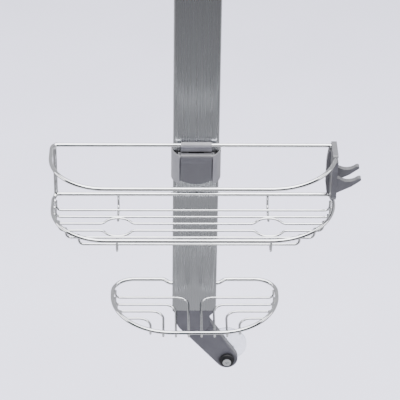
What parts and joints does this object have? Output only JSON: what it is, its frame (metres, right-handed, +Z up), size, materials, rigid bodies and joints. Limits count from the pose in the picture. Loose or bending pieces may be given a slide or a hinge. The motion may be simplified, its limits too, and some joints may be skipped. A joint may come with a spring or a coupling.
{
  "type": "shower caddy",
  "caption": "Hanging shower caddy: column with hook, sliding wire basket with bottle rings and razor fork, wire soap dish, swivel arm with suction cup.",
  "frame": {"origin": "centre of the hook's round seat, on the shower arm's axis", "axes": "+X to the right seen from the front, +Y towards the wall, +Z up"},
  "size_m": [0.3211, 0.122, 0.6028],
  "materials": {
    "anodised_column": "satin anodised extrusion",
    "grey_plastic": "fine moulded texture",
    "light_grey_plastic": "satin moulded",
    "black_rubber": "moulded rubber",
    "polished_wire": "polished stainless steel wire",
    "steel_fasteners": "plain steel",
    "white_plastic": "moulded",
    "clear_vinyl": "clear flexible vinyl"
  },
  "bodies": {
    "column": {"column": "anodised_column", "hanger_head": "grey_plastic", "hook_liner": "black_rubber", "gate_pin": "steel_fasteners", "head_screws": "steel_fasteners", "end_cap": "grey_plastic", "cap_screws": "steel_fasteners", "arm_pivot_pin": "steel_fasteners", "dish_ring": "polished_wire", "dish_socket": "grey_plastic", "dish_wire_1": "polished_wire", "dish_wire_2": "polished_wire", "dish_wire_3": "polished_wire", "dish_wire_4": "polished_wire", "dish_wire_5": "polished_wire", "dish_wire_6": "polished_wire", "dish_wire_7": "polished_wire", "dish_wire_8": "polished_wire"},
    "gate": {"gate": "grey_plastic", "gate_pad": "black_rubber"},
    "basket": {"upper_rim_wire": "polished_wire", "lower_rim_wire": "polished_wire", "top_back_rail": "polished_wire", "lower_back_rail": "polished_wire", "floor_wire_1": "polished_wire", "floor_wire_2": "polished_wire", "floor_wire_3": "polished_wire", "floor_wire_4": "polished_wire", "floor_wire_5": "polished_wire", "floor_wire_6": "polished_wire", "ring_brace_1": "polished_wire", "ring_brace_2": "polished_wire", "ring_brace_3": "polished_wire", "ring_brace_4": "polished_wire", "carriage_sleeve": "light_grey_plastic", "carriage_liner": "black_rubber", "rail_clip": "light_grey_plastic", "cam_pad": "black_rubber", "lever_pin": "steel_fasteners", "razor_holder": "grey_plastic"},
    "lever": {"lock_lever": "grey_plastic"},
    "arm": {"swivel_arm": "grey_plastic", "cup_grommet": "black_rubber"},
    "cup": {"cup_screw": "steel_fasteners", "cup_insert": "white_plastic", "suction_cup": "clear_vinyl"}
  },
  "joints": [
    {"name": "basket_slide", "type": "slide", "parent": "column", "child": "basket", "axis": [0, 0, 1], "range_m": [-0.1, 0.21]},
    {"name": "lever_hinge", "type": "hinge", "parent": "basket", "child": "lever", "pos_m": [0, -0.016, -0.2842], "axis": [-1, 0, 0], "range_deg": [0, 65]},
    {"name": "gate_hinge", "type": "hinge", "parent": "column", "child": "gate", "pos_m": [0.02, 0, -0.017], "axis": [0, 1, 0], "range_deg": [0, 110]},
    {"name": "arm_swivel", "type": "hinge", "parent": "column", "child": "arm", "pos_m": [-0.003, 0, -0.5065], "axis": [0, 1, 0], "range_deg": [-38.5, 110]},
    {"name": "cup_spin", "type": "hinge", "parent": "arm", "child": "cup", "pos_m": [0.03717, 0, -0.56099], "axis": [0, 1, 0], "continuous": true}
  ]
}
